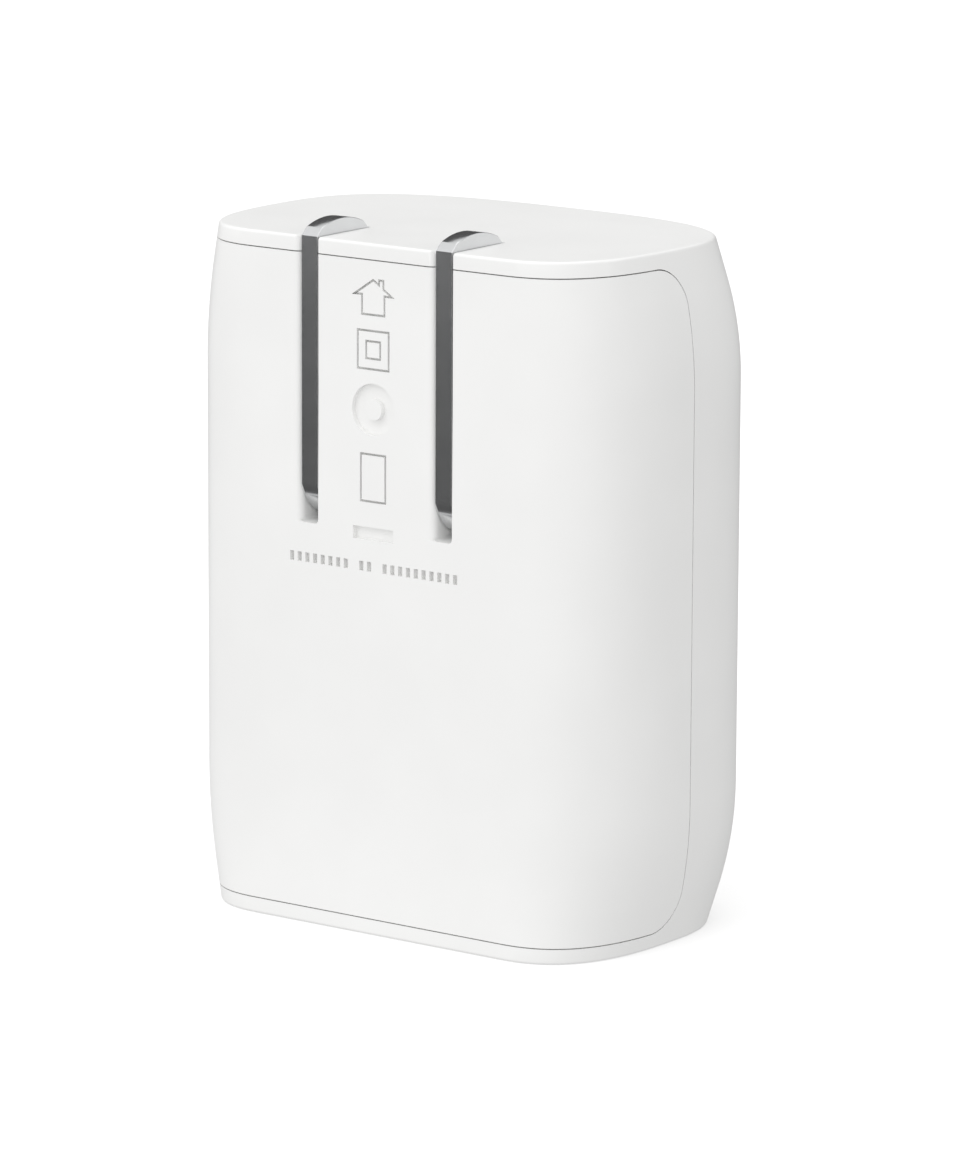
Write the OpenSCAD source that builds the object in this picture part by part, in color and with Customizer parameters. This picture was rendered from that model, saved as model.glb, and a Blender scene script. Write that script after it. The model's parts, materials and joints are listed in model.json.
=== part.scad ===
// USB wall charger with two folding mains blades, a USB-C socket and a USB-A socket.
// +Z is up, the blades fold out towards +Y, and the sockets face -Y.
// The origin is the centre of the footprint, on the surface that the charger stands on.

/* [Body] */
// Width across the sides, at mid height
body_w = 41.36; // [39:0.02:46]
// Depth from front to back, at mid height
body_d = 26.88; // [26:0.02:32]
// Height of the body, without the folded blade tips
body_h = 53.5; // [53:0.1:60]
// How much narrower each side is at the top and bottom ends
end_narrowing = 1.59; // [0.5:0.01:2.2]
// How much shallower the front is at the top and bottom ends
end_thinning = 2.5; // [0.5:0.01:3]
// Radius of the curve that starts the taper
taper_r = 26.9; // [20:0.1:40]
// Angle at which the taper ends, in degrees
taper_angle = 16.7; // [10:0.1:20]
// Straight length of the taper at the very end
taper_straight = 3.3; // [2:0.1:5]
// Half width of the flat part of the back
back_flat = 11.44; // [10:0.02:12]
// Depth of the widest plane, from the back
widest_d = 12.1; // [11:0.1:13]
// Squareness of the back corners
back_power = 2.62; // [2:0.01:4]
// Squareness of the front
front_power = 2.89; // [2:0.01:4]
// Thickness of the side, front and back walls
wall = 1.8; // [1.5:0.1:2]
// Thickness of the two layers of the top and of the bottom together
end_wall = 2.6; // [2.2:0.1:2.8]

/* [Seam] */
// Height of the front housing's rim, at the top and at the bottom
rim_h = 1.3; // [1:0.1:1.6]
// Depth of the seam on the sides, from the back
seam_d = 12.2; // [11:0.1:13]
// Radius of the seam's corners
seam_r = 3; // [2:0.1:4]
// Gap between the two halves
seam_gap = 0.05; // [0.02:0.01:0.1]

/* [Blades] */
// Distance between the blades' middles
blade_pitch = 12.7; // [12.5:0.05:12.9]
// Width of a blade
blade_w = 6.35; // [6.2:0.05:6.5]
// Thickness of a blade
blade_t = 1.5; // [1.4:0.02:1.6]
// Distance from the pivot to the tip
blade_reach = 19.9; // [19:0.1:21]
// Height of the pivot
pivot_z = 34.73; // [34:0.01:36]
// Distance from the pivot to the blade's hole
hole_reach = 15.85; // [15:0.05:16]
// Diameter of the blade's hole
hole_dia = 3.2; // [3:0.1:3.5]
// Gap between a blade and each side of its slot
slot_gap = 0.15; // [0.1:0.01:0.2]
// Radius of the rotor that joins the blades
rotor_r = 2; // [1.8:0.05:2.2]

/* [Sockets] */
// Height of the USB-C socket's middle
usb_c_z = 33.6; // [33:0.1:36]
// Height of the USB-A socket's middle
usb_a_z = 20.4; // [20:0.1:22]
// How far the metal mouths sit inside the front face
mouth_inset = 0.4; // [0.2:0.1:0.8]

/* [Board] */
// Depth of the board's back side, from the back of the body
board_d = 14.7; // [14.5:0.1:15]
// Thickness of the board
board_t = 1.2; // [1:0.1:1.6]

/* [Hidden] */

// Where things lie: depths are measured from the back face towards the front.
back_y = body_d / 2;
half_w = body_w / 2;
edge_fillet = 0.4;
quarter_steps = 12;
arc_steps = 4;
cut = 0.01;
blade_x = blade_pitch / 2;
pivot_d = blade_w / 2;
board_front_d = board_d + board_t;

// Blade slots and the cheeks that the rotor turns in.
slot_w = blade_t + 2 * slot_gap;
slot_low_z = pivot_z - blade_w / 2 - 0.1;
slot_d = blade_w + 0.25;
cheek_t = 1.1;
root_d = 1;
cheek_low_z = slot_low_z - cheek_t;
seat_top_z = pivot_z + 4;
rotor_gap = 0.05;
trunnion_end = 10.2;
neck_r = 1.2;

// Engraved marks on the back.
mark_depth = 0.22;
stroke_w = 0.3;
house_z = 49.1;
squares_z = 45.1;
disc_z = 40.4;
panel_z = 35.6;
bar_mark_z = 31.2;
dash_z = 28.1;
dash_count = 11;
dash_pitch = 1.62;
dash_w = 1;
dash_h = 0.5;

// Rotor retainer.
bar_d = 7.9;
bar_t = 1.1;
bar_half_h = 4;
screw_x = 12.6;
boss_r = 2.1;
pilot_r = 0.8;
pilot_depth = 5;

// Transformer, in its own place.
coil_x = 8.4;
coil_d = 8.5;
coil_z = 15.2;
core_w = 16;
core_depth = 6.4;
core_h = 16;
yoke_h = 2.6;
leg_w = 2.4;
middle_leg_w = 4.4;
flange_t = 0.8;
bobbin_wall = 0.5;
window_h = core_h - 2 * yoke_h;

// Metal shells of the sockets.
usb_c_w = 9;
usb_c_h = 3.2;
usb_c_back_d = 18;
usb_c_wall = 0.25;
usb_a_w = 13.1;
usb_a_h = 5.7;
usb_a_wall = 0.3;
usb_a_back_d = 17.6;
usb_a_r = 0.5;
mouth_gap = 0.15;
mouth_d = body_d - mouth_inset;

// ---------------------------------------------------------------- body surface

// How far the taper has come in at a distance from the end, before it is scaled.
taper_start = taper_straight + taper_r * sin(taper_angle);
function taper_drop(from_end) =
    from_end >= taper_start ? 0 :
    from_end >= taper_straight ? taper_r - sqrt(pow(taper_r, 2) - pow(taper_start - from_end, 2)) :
    taper_r * (1 - cos(taper_angle)) + tan(taper_angle) * (taper_straight - from_end);
function taper(z) = taper_drop(min(z, body_h - z)) / taper_drop(0);

// One point of a rounded corner: a superellipse quarter with half sizes a and b.
function corner(a, b, power, angle) =
    [a * pow(cos(angle), 2 / power), b * pow(sin(angle), 2 / power)];

// Right half of the outline at a height, from the back to the front, as [x, depth].
function half_outline(z, inset) =
    let (side = half_w - end_narrowing * taper(z) - inset)
    let (front = body_d - end_thinning * taper(z) - inset - widest_d)
    let (back = widest_d - inset)
    let (steps = quarter_steps)
    concat(
        [for (i = [0 : steps])
            let (p = corner(side - back_flat, back, back_power, 90 - i * 90 / steps))
            [back_flat + p.x, widest_d - p.y]],
        [for (i = [1 : steps])
            let (p = corner(side, front, front_power, i * 90 / steps))
            [p.x, widest_d + p.y]]
    );

// Whole outline at a height, as 3-D points. The front's middle point is kept once.
function ring(z, inset) =
    let (right = half_outline(z, inset))
    let (last = len(right) - 1)
    concat(
        [for (p = right) [p.x, back_y - p.y, z]],
        [for (i = [last - 1 : -1 : 0]) [-right[i].x, back_y - right[i].y, z]]
    );

// Closed solid through a stack of rings of n points each.
module loft(rings) {
    n = len(rings[0]);
    top = len(rings) - 1;
    points = [for (r = rings) for (p = r) p];
    sides = [for (j = [0 : top - 1]) for (i = [0 : n - 1])
        let (k = (i + 1) % n)
        [j * n + i, j * n + k, (j + 1) * n + k, (j + 1) * n + i]];
    bottom_cap = [for (i = [n - 1 : -1 : 0]) i];
    top_cap = [for (i = [0 : n - 1]) top * n + i];
    polyhedron(points, concat(sides, [bottom_cap, top_cap]));
}

// Heights at which the taper needs a ring, measured from an end.
function taper_rings() =
    [for (i = [0 : arc_steps])
        taper_straight + (taper_start - taper_straight) * i / arc_steps];

module outer_solid() {
    heights = taper_rings();
    lower = [for (e = heights) ring(e, 0)];
    upper = [for (i = [len(heights) - 1 : -1 : 0]) ring(body_h - heights[i], 0)];
    ends_low = [ring(0, edge_fillet), ring(edge_fillet, 0)];
    ends_high = [ring(body_h - edge_fillet, 0), ring(body_h, edge_fillet)];
    loft(concat(ends_low, lower, upper, ends_high));
}

module inner_solid() {
    heights = taper_rings();
    lower = [for (e = heights) ring(e, wall)];
    upper = [for (i = [len(heights) - 1 : -1 : 0]) ring(body_h - heights[i], wall)];
    loft(concat([ring(end_wall, wall)], lower, upper, [ring(body_h - end_wall, wall)]));
}

// Region of the back cover: everything behind the seam, seen from the side.
module behind_seam(grow) {
    low = rim_h - grow;
    high = body_h - rim_h + grow;
    reach = seam_d + grow;
    r = seam_r + grow;
    far = 5;
    rotate([90, 0, 90])
        linear_extrude(height = body_w + 10, center = true)
            union() {
                translate([back_y - reach + r, low]) square([reach - r + far, high - low]);
                translate([back_y - reach, low + r]) square([r + 1, high - low - 2 * r]);
                for (z = [low + r, high - r])
                    translate([back_y - reach + r, z]) circle(r = r, $fn = 96);
            }
}

// ---------------------------------------------------------------- small helpers

// Box given by its ranges along x, depth and height.
module slab(x0, x1, d0, d1, z0, z1) {
    translate([x0, back_y - d1, z0]) cube([x1 - x0, d1 - d0, z1 - z0]);
}

// Round bar along x, between two places.
module bar_along_x(x0, x1, r) {
    translate([x0, back_y - pivot_d, pivot_z])
        rotate([0, 90, 0]) cylinder(r = r, h = x1 - x0, $fn = 64);
}

// Round bar that runs from depth d0 to depth d1.
module bar_along_y(x, z, d0, d1, r) {
    translate([x, back_y - d0, z]) rotate([90, 0, 0]) cylinder(r = r, h = d1 - d0, $fn = 64);
}

// Flat shape with rounded corners.
module round_rect(w, h, r) {
    union() {
        square([w, h - 2 * r], center = true);
        square([w - 2 * r, h], center = true);
        for (x = [-1, 1], y = [-1, 1])
            translate([x * (w / 2 - r), y * (h / 2 - r)]) circle(r = r, $fn = 48);
    }
}

// Rounded bar that runs from depth d0 to depth d1, centred on x = 0.
module round_bar(z, w, h, r, d0, d1) {
    translate([0, back_y - d0, z])
        rotate([90, 0, 0]) linear_extrude(height = d1 - d0) round_rect(w, h, r);
}

// Copies its children on the left and on the right.
module both_sides() {
    children();
    mirror([1, 0, 0]) children();
}

// ---------------------------------------------------------------- housing

module blade_slots() {
    both_sides()
        slab(blade_x - slot_w / 2, blade_x + slot_w / 2, -1, slot_d, slot_low_z, body_h + 1);
}

module socket_mouths() {
    c_w = usb_c_w + 2 * mouth_gap;
    c_h = usb_c_h + 2 * mouth_gap;
    a_w = usb_a_w + 2 * mouth_gap;
    a_h = usb_a_h + 2 * mouth_gap;
    round_bar(usb_c_z, c_w, c_h, c_h / 2 - cut, body_d - 4, body_d + 1);
    round_bar(usb_a_z, a_w, a_h, usb_a_r + mouth_gap, body_d - 4, body_d + 1);
}

post_x = 14.4;
post_low_z = 7.5;
post_high_z = 46;
post_end_d = 23.4;
post_r = 1.4;

module front_housing() {
    color("whitesmoke")
        difference() {
            union() {
                difference() {
                    outer_solid();
                    inner_solid();
                    behind_seam(seam_gap);
                }
                // Posts that the board rests on.
                for (z = [post_low_z, post_high_z])
                    both_sides() bar_along_y(post_x, z, board_front_d, post_end_d, post_r);
            }
            blade_slots();
            socket_mouths();
        }
}

// Straight stroke of an engraved mark, between two points of the back.
module stroke(x0, z0, x1, z1) {
    length = sqrt(pow(x1 - x0, 2) + pow(z1 - z0, 2));
    translate([x0, z0])
        rotate(atan2(z1 - z0, x1 - x0))
            translate([-stroke_w / 2, -stroke_w / 2]) square([length + stroke_w, stroke_w]);
}

// Outline of a rectangle, centred on the middle line of the back.
module frame_mark(w, h, z) {
    for (side = [-1, 1]) {
        stroke(-w / 2, z + side * h / 2, w / 2, z + side * h / 2);
        stroke(side * w / 2, z - h / 2, side * w / 2, z + h / 2);
    }
}

module house_mark(z) {
    eaves = 2;
    walls = 1.25;
    eaves_z = z + 0.1;
    ridge_z = z + 1.7;
    floor_z = z - 1.4;
    for (side = [-1, 1]) {
        stroke(side * eaves, eaves_z, 0, ridge_z);
        stroke(side * eaves, eaves_z, side * walls, eaves_z);
        stroke(side * walls, floor_z, side * walls, eaves_z);
    }
    stroke(-walls, floor_z, walls, floor_z);
}

// Plain shapes between the blade slots and a row of dashes under them.
module marks() {
    big_square = 3.1;
    small_square = 1.3;
    disc_r = 2;
    dot_r = 0.8;
    panel_w = 2.5;
    panel_h = 3.8;
    bar_mark_half = 1.4;
    house_mark(house_z);
    for (size = [big_square, small_square]) frame_mark(size, size, squares_z);
    translate([0, disc_z])
        difference() {
            circle(r = disc_r, $fn = 64);
            circle(r = dot_r, $fn = 48);
        }
    frame_mark(panel_w, panel_h, panel_z);
    stroke(-bar_mark_half, bar_mark_z, bar_mark_half, bar_mark_z);
    for (i = [0 : dash_count - 1])
        translate([(i - (dash_count - 1) / 2) * dash_pitch, dash_z])
            square([dash_w, dash_h], center = true);
}

// Slot walls, with seats for the rotor that are open towards the inside.
module cheeks() {
    outer_x = blade_x + slot_w / 2 + cheek_t;
    inner_x = blade_x - slot_w / 2 - cheek_t;
    top_z = body_h - rim_h - 0.5;
    seat_end_d = slot_d - 0.4;
    both_sides() {
        slab(inner_x, outer_x, root_d, slot_d + cheek_t, seat_top_z, top_z);
        slab(inner_x, outer_x, root_d, seat_end_d, cheek_low_z, seat_top_z + cut);
    }
}

module rotor_seat() {
    seat_r = rotor_r + rotor_gap;
    reach = 12;
    bar_along_x(-reach, reach, seat_r);
    slab(-reach, reach, pivot_d, slot_d, pivot_z - seat_r, pivot_z + seat_r);
}

// Posts that hold the board, and tabs that guide the front housing.
module board_posts() {
    hold_x = post_x + 0.6;
    hold_z = 27.6;
    hold_r = 1.2;
    both_sides() bar_along_y(hold_x, hold_z, root_d, board_d, hold_r);
}

module guide_tabs() {
    tab_z = 8;
    tab_half_h = 2;
    tab_in_x = 17.2;
    tab_root_x = 19.2;
    tab_end_x = 18.2;
    tab_start_d = 8.6;
    root_end_d = seam_d - 0.6;
    tab_end_d = seam_d + 1.6;
    both_sides()
        for (z = [tab_z, body_h - tab_z]) {
            slab(tab_in_x, tab_root_x, tab_start_d, root_end_d, z - tab_half_h, z + tab_half_h);
            slab(tab_in_x, tab_end_x, tab_start_d, tab_end_d, z - tab_half_h, z + tab_half_h);
        }
}

module back_cover() {
    color("white")
        difference() {
            union() {
                intersection() {
                    difference() {
                        outer_solid();
                        inner_solid();
                    }
                    behind_seam(0);
                }
                cheeks();
                board_posts();
                guide_tabs();
                // Bosses for the two screws of the rotor retainer.
                both_sides() bar_along_y(screw_x, pivot_z, root_d, bar_d, boss_r);
            }
            blade_slots();
            rotor_seat();
            both_sides() bar_along_y(screw_x, pivot_z, bar_d - pilot_depth, bar_d + 1, pilot_r);
            translate([0, back_y - mark_depth, 0])
                rotate([90, 0, 0]) mirror([0, 0, 1]) linear_extrude(height = 1) marks();
        }
}

// ---------------------------------------------------------------- folding plug

// Side view of a blade, with the pivot at the origin and the tip at the top.
// The heel is round, the tip is an arc, and both ends have small chamfers.
module blade_outline() {
    tip_r = 6.5;
    tip_chamfer = 0.6;
    shoulder = blade_reach - 1.1;
    heel_r = 3;
    heel_drop = 0.33;
    heel_chamfer_x = 0.4;
    heel_chamfer_z = 0.65;
    half = blade_w / 2;
    sides_end = blade_reach - tip_r;
    difference() {
        union() {
            circle(r = heel_r, $fn = 96);
            polygon([[-half, sides_end], [-half, -heel_drop],
                     [heel_chamfer_x - half, -heel_drop - heel_chamfer_z],
                     [half - heel_chamfer_x, -heel_drop - heel_chamfer_z],
                     [half, -heel_drop], [half, sides_end]]);
            intersection() {
                translate([-half, sides_end - cut]) square([blade_w, tip_r + cut]);
                translate([0, sides_end]) circle(r = tip_r, $fn = 128);
            }
        }
        for (side = [-1, 1])
            translate([side * half, shoulder + tip_chamfer])
                rotate(45) square(tip_chamfer * sqrt(2), center = true);
    }
}

// Blade in its folded place, standing up from the pivot.
module blade(x) {
    countersink = 0.4;
    over = 0.1;
    difference() {
        translate([x - blade_t / 2, back_y - pivot_d, pivot_z])
            rotate([90, 0, 90]) linear_extrude(height = blade_t) blade_outline();
        translate([x, back_y - pivot_d, pivot_z + hole_reach])
            rotate([0, 90, 0]) {
                cylinder(r = hole_dia / 2, h = blade_t * 2, center = true, $fn = 64);
                for (turn = [0, 180])
                    rotate([turn, 0, 0])
                        translate([0, 0, blade_t / 2 - countersink])
                            cylinder(r1 = hole_dia / 2, r2 = hole_dia / 2 + countersink + over,
                                     h = countersink + over, $fn = 64);
            }
        bar_along_x(x - blade_t, x + blade_t, neck_r);
    }
}

module blade_left() { color("silver") blade(blade_x); }

module blade_right() { color("silver") blade(-blade_x); }

// Bar that joins the blades: a cam in the middle, a neck through each blade and two trunnions.
module blade_rotor() {
    inner_end = blade_x - blade_t / 2;
    outer_start = blade_x + blade_t / 2;
    cam_half = 1.6;
    flat_in = rotor_r - 0.35;
    color("gainsboro")
        difference() {
            union() {
                bar_along_x(-inner_end, inner_end, rotor_r);
                bar_along_x(-trunnion_end, trunnion_end, neck_r - 0.01);
                both_sides() bar_along_x(outer_start, trunnion_end, rotor_r);
            }
            // Two flats that the detent spring rests on, a quarter turn apart.
            slab(-cam_half, cam_half, pivot_d + flat_in, pivot_d + 4, pivot_z - 3, pivot_z + 3);
            slab(-cam_half, cam_half, 0, pivot_d + 3, pivot_z + flat_in, pivot_z + 4);
        }
}

// Bridge that holds the rotor in its seats from the inside.
module rotor_retainer() {
    bar_end = screw_x + boss_r;
    side_gap = 0.1;
    saddle_in = blade_x + slot_w / 2 + cheek_t + side_gap;
    saddle_half_h = 2.8;
    screw_hole_r = 1.1;
    color("lightgray")
        difference() {
            union() {
                slab(-bar_end, bar_end, bar_d, bar_d + bar_t, pivot_z - bar_half_h, pivot_z + bar_half_h);
                both_sides()
                    slab(saddle_in, trunnion_end - side_gap, pivot_d, bar_d + cut,
                         pivot_z - saddle_half_h, pivot_z + saddle_half_h);
            }
            bar_along_x(-trunnion_end - 1, trunnion_end + 1, rotor_r + rotor_gap);
            both_sides() bar_along_y(screw_x, pivot_z, bar_d - 1, bar_d + bar_t + 1, screw_hole_r);
        }
}

module retainer_screws() {
    head_r = 1.9;
    head_t = 1.2;
    recess = 0.6;
    recess_half_w = 0.2;
    recess_reach = 1.2;
    thread_l = 4;
    seat_d = bar_d + bar_t;
    recess_d = seat_d + head_t - recess;
    color("slategray")
        both_sides()
            difference() {
                union() {
                    bar_along_y(screw_x, pivot_z, seat_d, seat_d + head_t, head_r);
                    bar_along_y(screw_x, pivot_z, bar_d - thread_l, seat_d + cut, pilot_r - 0.02);
                }
                slab(screw_x - recess_reach, screw_x + recess_reach, recess_d, seat_d + 2,
                     pivot_z - recess_half_w, pivot_z + recess_half_w);
                slab(screw_x - recess_half_w, screw_x + recess_half_w, recess_d, seat_d + 2,
                     pivot_z - recess_reach, pivot_z + recess_reach);
            }
}

// Leaf that rests on the rotor's cam and clicks into its flats.
module detent_spring() {
    leaf_t = 0.3;
    leaf_half_w = 1.3;
    leaf_gap = 0.08;
    leaf_d = pivot_d + rotor_r + leaf_gap;
    foot_h = 3.4;
    color("goldenrod")
        union() {
            slab(-leaf_half_w, leaf_half_w, leaf_d, leaf_d + leaf_t, pivot_z - foot_h, pivot_z + foot_h);
            for (s = [-1, 1])
                slab(-leaf_half_w, leaf_half_w, leaf_d, bar_d, pivot_z + s * foot_h - leaf_t / 2,
                     pivot_z + s * foot_h + leaf_t / 2);
        }
}

// Contact leaf: its crown touches the blade's round heel, and its leg is soldered to the board.
module plug_contact(x) {
    leaf_w = 1.4;
    leaf_t = 0.35;
    crown_r = 1.2;
    crown_rise = 0.8;
    leaf_top_z = pivot_z + 3;
    crown_d = pivot_d * 2 + 0.1;
    leaf_d = crown_d + crown_rise;
    leg_z = cheek_low_z - 1.2;
    union() {
        slab(x - leaf_w / 2, x + leaf_w / 2, leaf_d, leaf_d + leaf_t, leg_z, leaf_top_z);
        slab(x - leaf_w / 2, x + leaf_w / 2, leaf_d, board_d, leg_z, leg_z + leaf_t);
        intersection() {
            translate([x - leaf_w / 2, back_y - crown_d - crown_r, pivot_z])
                rotate([0, 90, 0])
                    difference() {
                        cylinder(r = crown_r, h = leaf_w, $fn = 48);
                        translate([0, 0, -1]) cylinder(r = crown_r - leaf_t, h = leaf_w + 2, $fn = 48);
                    }
            slab(x - leaf_w, x + leaf_w, crown_d - 1, leaf_d + cut, pivot_z - 2, pivot_z + 2);
        }
    }
}

module line_contact() { color("peru") plug_contact(blade_x); }

module neutral_contact() { color("peru") plug_contact(-blade_x); }

// ---------------------------------------------------------------- board and mains side

module insulation_sheet() {
    half = 10.6;
    near_d = wall + 0.1;
    sheet_t = 0.3;
    low_z = 3.6;
    high_z = 29.4;
    color("khaki") slab(-half, half, near_d, near_d + sheet_t, low_z, high_z);
}

// Box that stands on the back side of the board.
module board_box(x0, x1, height, z0, z1) {
    slab(x0, x1, board_d - height, board_d, z0, z1);
}

module main_board() {
    board_w = 33.4;
    end_gap = 0.5;
    corner_r = 2;
    board_low = end_wall + end_gap;
    board_h = body_h - 2 * board_low;
    color("seagreen") round_bar(body_h / 2, board_w, board_h, corner_r, board_d, board_front_d);
}

module input_fuse() { color("saddlebrown") board_box(-8, -0.6, 4.3, 42.4, 46.6); }

module x_capacitor() { color("gold") board_box(9, 16.4, 9.3, 40.4, 48.4); }

choke_x = -13.1;
choke_z = 44.4;
choke_r = 3.5;
choke_hole_r = 1.9;
choke_d = 10;
choke_end_d = 13.4;
choke_cut_d = choke_d - 1;
choke_cut_end_d = choke_end_d + 1.6;

module choke_core() {
    color("darkolivegreen")
        difference() {
            bar_along_y(choke_x, choke_z, choke_d, choke_end_d, choke_r);
            bar_along_y(choke_x, choke_z, choke_cut_d, choke_cut_end_d, choke_hole_r);
        }
}

// Two windings on the ring, one on each half.
module choke_winding() {
    turn_t = 0.6;
    half_gap = 0.8;
    color("chocolate")
        difference() {
            bar_along_y(choke_x, choke_z, choke_d - turn_t, choke_end_d + turn_t, choke_r + turn_t);
            bar_along_y(choke_x, choke_z, choke_cut_d, choke_cut_end_d, choke_hole_r - turn_t);
            difference() {
                bar_along_y(choke_x, choke_z, choke_d - cut, choke_end_d + cut, choke_r + cut);
                bar_along_y(choke_x, choke_z, choke_cut_d, choke_cut_end_d, choke_hole_r - cut);
            }
            slab(choke_x - half_gap, choke_x + half_gap, choke_cut_d, choke_cut_end_d,
                 choke_z - 2 * choke_r, choke_z + 2 * choke_r);
        }
}

module bridge_rectifier() { color("dimgray") board_box(1, 7.4, 2.7, 41.2, 47.2); }

// Standing can with a rounded groove near its lower end.
module bulk_capacitor(x) {
    can_r = 4;
    can_low = 4.6;
    can_h = 20.4;
    groove_z = 1.8;
    groove_r = 0.4;
    groove_out = 0.15;
    can_d = 9.4;
    difference() {
        translate([x, back_y - can_d, can_low]) cylinder(r = can_r, h = can_h, $fn = 96);
        translate([x, back_y - can_d, can_low + groove_z])
            rotate_extrude($fn = 96) translate([can_r + groove_out, 0]) circle(r = groove_r, $fn = 32);
    }
}

module bulk_capacitor_a() { color("midnightblue") bulk_capacitor(-13); }

module bulk_capacitor_b() { color("midnightblue") bulk_capacitor(-4.6); }

module power_switch() { color("dimgray") board_box(8.4, 14.2, 1.7, 30.6, 36.4); }

module y_capacitor() {
    disc_end_d = 13.4;
    disc_t = 2.8;
    radius = 3.6;
    color("steelblue") bar_along_y(0, pivot_z, disc_end_d - disc_t, disc_end_d, radius);
}

// ---------------------------------------------------------------- transformer

// One E-shaped half core. The side is 1 for the upper half and -1 for the lower half.
module half_core(side) {
    front = coil_d + core_depth / 2;
    back = coil_d - core_depth / 2;
    air = 0.03;
    mid = coil_z + side * air;
    far = coil_z + side * core_h / 2;
    near_yoke = far - side * yoke_h;
    low_leg = min(mid, far);
    high_leg = max(mid, far);
    union() {
        slab(coil_x - core_w / 2, coil_x + core_w / 2, back, front, min(near_yoke, far), max(near_yoke, far));
        slab(coil_x - core_w / 2, coil_x - core_w / 2 + leg_w, back, front, low_leg, high_leg);
        slab(coil_x + core_w / 2 - leg_w, coil_x + core_w / 2, back, front, low_leg, high_leg);
        slab(coil_x - middle_leg_w / 2, coil_x + middle_leg_w / 2, back, front, low_leg, high_leg);
    }
}

module transformer_core_upper() { color("darkslategray") half_core(1); }

module transformer_core_lower() { color("darkslategray") half_core(-1); }

// Box centred on the coil, given by its half sizes.
module coil_box(half_x, half_d, half_z) {
    slab(coil_x - half_x, coil_x + half_x, coil_d - half_d, coil_d + half_d, coil_z - half_z, coil_z + half_z);
}

tube_x = middle_leg_w / 2 + 0.05;
tube_d = core_depth / 2 + 0.05;
flange_x = core_w / 2 - leg_w - 0.1;
flange_d = 6.1;

module transformer_bobbin() {
    half_h = window_h / 2 - 0.1;
    color("black")
        difference() {
            union() {
                coil_box(tube_x + bobbin_wall, tube_d + bobbin_wall, half_h);
                for (s = [-1, 1])
                    translate([0, 0, s * (half_h - flange_t / 2)]) coil_box(flange_x, flange_d, flange_t / 2);
            }
            coil_box(tube_x, tube_d, window_h);
        }
}

module transformer_winding() {
    half_h = window_h / 2 - 0.1 - flange_t - 0.02;
    color("orange")
        difference() {
            coil_box(flange_x - 0.1, flange_d - 0.3, half_h);
            coil_box(tube_x + bobbin_wall + 0.02, tube_d + bobbin_wall + 0.02, window_h);
        }
}

// Band round the cores and the winding, with rounded corners.
module transformer_tape() {
    tape_t = 0.15;
    tape_w = core_w + 0.04;
    tape_depth = 2 * flange_d - 0.56;
    tape_h = 5.2;
    tape_r = 2.4;
    color("yellow")
        translate([coil_x, back_y - coil_d, coil_z - tape_h / 2])
            linear_extrude(height = tape_h)
                difference() {
                    round_rect(tape_w + 2 * tape_t, tape_depth + 2 * tape_t, tape_r + tape_t);
                    round_rect(tape_w, tape_depth, tape_r);
                }
}

// ---------------------------------------------------------------- output side

module sync_rectifier() { color("dimgray") board_box(-14, -8.6, 1.4, 30.8, 36.2); }

output_x = 11.9;

module output_capacitors() {
    can_h = 5.8;
    can_r = 3.1;
    color("lightslategray")
        for (z = [usb_a_z, usb_c_z])
            bar_along_y(-output_x, z, board_front_d, board_front_d + can_h, can_r);
}

module output_inductor() {
    half = 2.9;
    height = 3;
    color("dimgray")
        slab(output_x - half, output_x + half, board_front_d, board_front_d + height,
             usb_c_z - half, usb_c_z + half);
}

module protocol_chip() {
    half = 2;
    height = 0.9;
    color("dimgray")
        slab(output_x - half, output_x + half, board_front_d, board_front_d + height,
             usb_a_z - half, usb_a_z + half);
}

// Two rows of small parts on the board, beside the sockets.
module chip_parts() {
    part_w = 1.6;
    part_h = 0.8;
    part_t = 0.5;
    row_x = 11;
    row_z = 38.4;
    pitch = 1.6;
    color("tan")
        for (side = [-1, 1], z = [row_z : pitch : row_z + 4 * pitch + cut])
            slab(side * row_x - part_w / 2, side * row_x + part_w / 2, board_front_d, board_front_d + part_t,
                 z, z + part_h);
}

pad_half_w = 11;
pad_low_z = 5.4;
pad_high_z = 14.6;
pad_t = 2;

module thermal_pad() {
    color("lightsteelblue")
        slab(-pad_half_w, pad_half_w, board_front_d, board_front_d + pad_t, pad_low_z, pad_high_z);
}

module heat_spreader() {
    sheet_t = 0.8;
    color("lightgray")
        slab(-pad_half_w, pad_half_w, board_front_d + pad_t, board_front_d + pad_t + sheet_t,
             pad_low_z, pad_high_z);
}

// ---------------------------------------------------------------- sockets

module usb_c_shell() {
    inner_w = usb_c_w - 2 * usb_c_wall;
    inner_h = usb_c_h - 2 * usb_c_wall;
    color("lightgray")
        difference() {
            round_bar(usb_c_z, usb_c_w, usb_c_h, usb_c_h / 2 - cut, usb_c_back_d, mouth_d);
            round_bar(usb_c_z, inner_w, inner_h, inner_h / 2 - cut, usb_c_back_d - 1, mouth_d + 1);
        }
}

tongue_c_w = 6.7;
tongue_c_t = 0.7;
tongue_c_end = mouth_d - 0.8;

module usb_c_insulator() {
    color("black")
        union() {
            round_bar(usb_c_z, usb_c_w, usb_c_h, 0.6, board_front_d, usb_c_back_d);
            round_bar(usb_c_z, tongue_c_w, tongue_c_t, 0.3, usb_c_back_d - cut, tongue_c_end);
        }
}

module usb_c_contacts() {
    pad_pitch = 0.5;
    pad_w = 0.25;
    pad_l = 4;
    leaf_t = 0.05;
    rows = 12;
    pad_mid_d = tongue_c_end - 0.6 - pad_l / 2;
    color("gold")
        for (side = [-1, 1], i = [0 : rows - 1])
            translate([(i - (rows - 1) / 2) * pad_pitch, back_y - pad_mid_d,
                       usb_c_z + side * (tongue_c_t / 2 + leaf_t / 2)])
                cube([pad_w, pad_l, leaf_t], center = true);
}

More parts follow.
